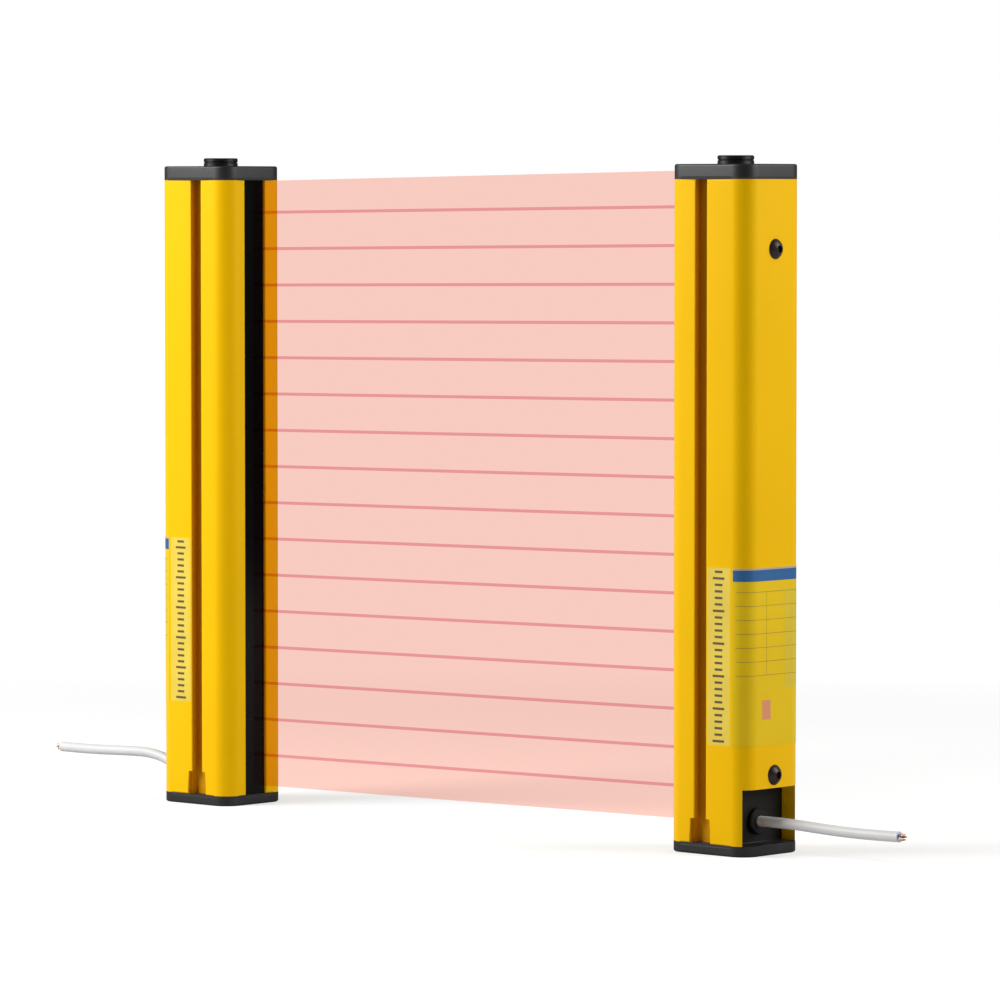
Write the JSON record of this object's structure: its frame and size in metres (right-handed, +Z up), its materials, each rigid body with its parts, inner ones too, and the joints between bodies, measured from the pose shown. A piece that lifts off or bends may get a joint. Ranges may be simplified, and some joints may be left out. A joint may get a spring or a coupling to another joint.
{
  "type": "safety light curtain",
  "caption": "Safety light curtain: yellow emitter and receiver posts that face each other, with black end caps, dark front windows, side slots and short grey cables.",
  "frame": {"origin": "on the floor, midway between the two posts", "axes": "+X from the emitter to the receiver, +Y away from the picture's camera, +Z up the posts"},
  "size_m": [0.5572, 0.0422, 0.322],
  "materials": {
    "housing_yellow": "satin powder coat",
    "window_dark": "polished, passes infrared only",
    "seal_rubber": "matt",
    "cap_black": "fine moulded grain",
    "screw_black": "black zinc",
    "screw_zinc": "zinc plated",
    "stud_black": "black anodised",
    "insert_brass": "turned",
    "gland_black": "moulded",
    "cable_grey": "satin jacket",
    "core_insulation": "extruded",
    "connector_green": "moulded",
    "board_green": "solder mask",
    "chip_black": "moulded",
    "diode_clear": "moulded",
    "carrier_black": "matt, light absorbing",
    "lens_clear": "clear moulded",
    "bridge_aluminium": "milled",
    "label_foil": "printed foil"
  },
  "bodies": {
    "root": {"emitter_housing": "housing_yellow", "emitter_front_window": "window_dark", "emitter_window_gaskets": "seal_rubber", "emitter_top_cap": "cap_black", "emitter_top_gasket": "seal_rubber", "emitter_top_cap_screws": "screw_black", "emitter_pivot_stud": "stud_black", "emitter_bottom_cap": "cap_black", "emitter_bottom_gasket": "seal_rubber", "emitter_bottom_cap_screws": "screw_black", "emitter_base_insert": "insert_brass", "emitter_cable_gland": "gland_black", "emitter_gland_locknut": "gland_black", "emitter_inner_lead": "cable_grey", "emitter_lead_terminal": "connector_green", "emitter_control_board": "board_green", "emitter_board_parts": "chip_black", "emitter_board_link": "chip_black", "emitter_board_spacers": "insert_brass", "emitter_optics_board": "board_green", "emitter_beam_diodes": "diode_clear", "emitter_optics_carrier": "carrier_black", "emitter_carrier_screws": "screw_zinc", "emitter_lens_bar": "lens_clear", "emitter_chassis_bridges": "bridge_aluminium", "emitter_rear_screws": "screw_black", "emitter_rating_label": "label_foil", "emitter_cable": "cable_grey", "emitter_cable_cores": "core_insulation", "receiver_housing": "housing_yellow", "receiver_front_window": "window_dark", "receiver_window_gaskets": "seal_rubber", "receiver_top_cap": "cap_black", "receiver_top_gasket": "seal_rubber", "receiver_top_cap_screws": "screw_black", "receiver_pivot_stud": "stud_black", "receiver_bottom_cap": "cap_black", "receiver_bottom_gasket": "seal_rubber", "receiver_bottom_cap_screws": "screw_black", "receiver_base_insert": "insert_brass", "receiver_cable_gland": "gland_black", "receiver_gland_locknut": "gland_black", "receiver_inner_lead": "cable_grey", "receiver_lead_terminal": "connector_green", "receiver_control_board": "board_green", "receiver_board_parts": "chip_black", "receiver_board_link": "chip_black", "receiver_board_spacers": "insert_brass", "receiver_optics_board": "board_green", "receiver_beam_diodes": "diode_clear", "receiver_optics_carrier": "carrier_black", "receiver_carrier_screws": "screw_zinc", "receiver_lens_bar": "lens_clear", "receiver_chassis_bridges": "bridge_aluminium", "receiver_rear_screws": "screw_black", "receiver_rating_label": "label_foil", "receiver_cable": "cable_grey", "receiver_cable_cores": "core_insulation"}
  },
  "joints": []
}
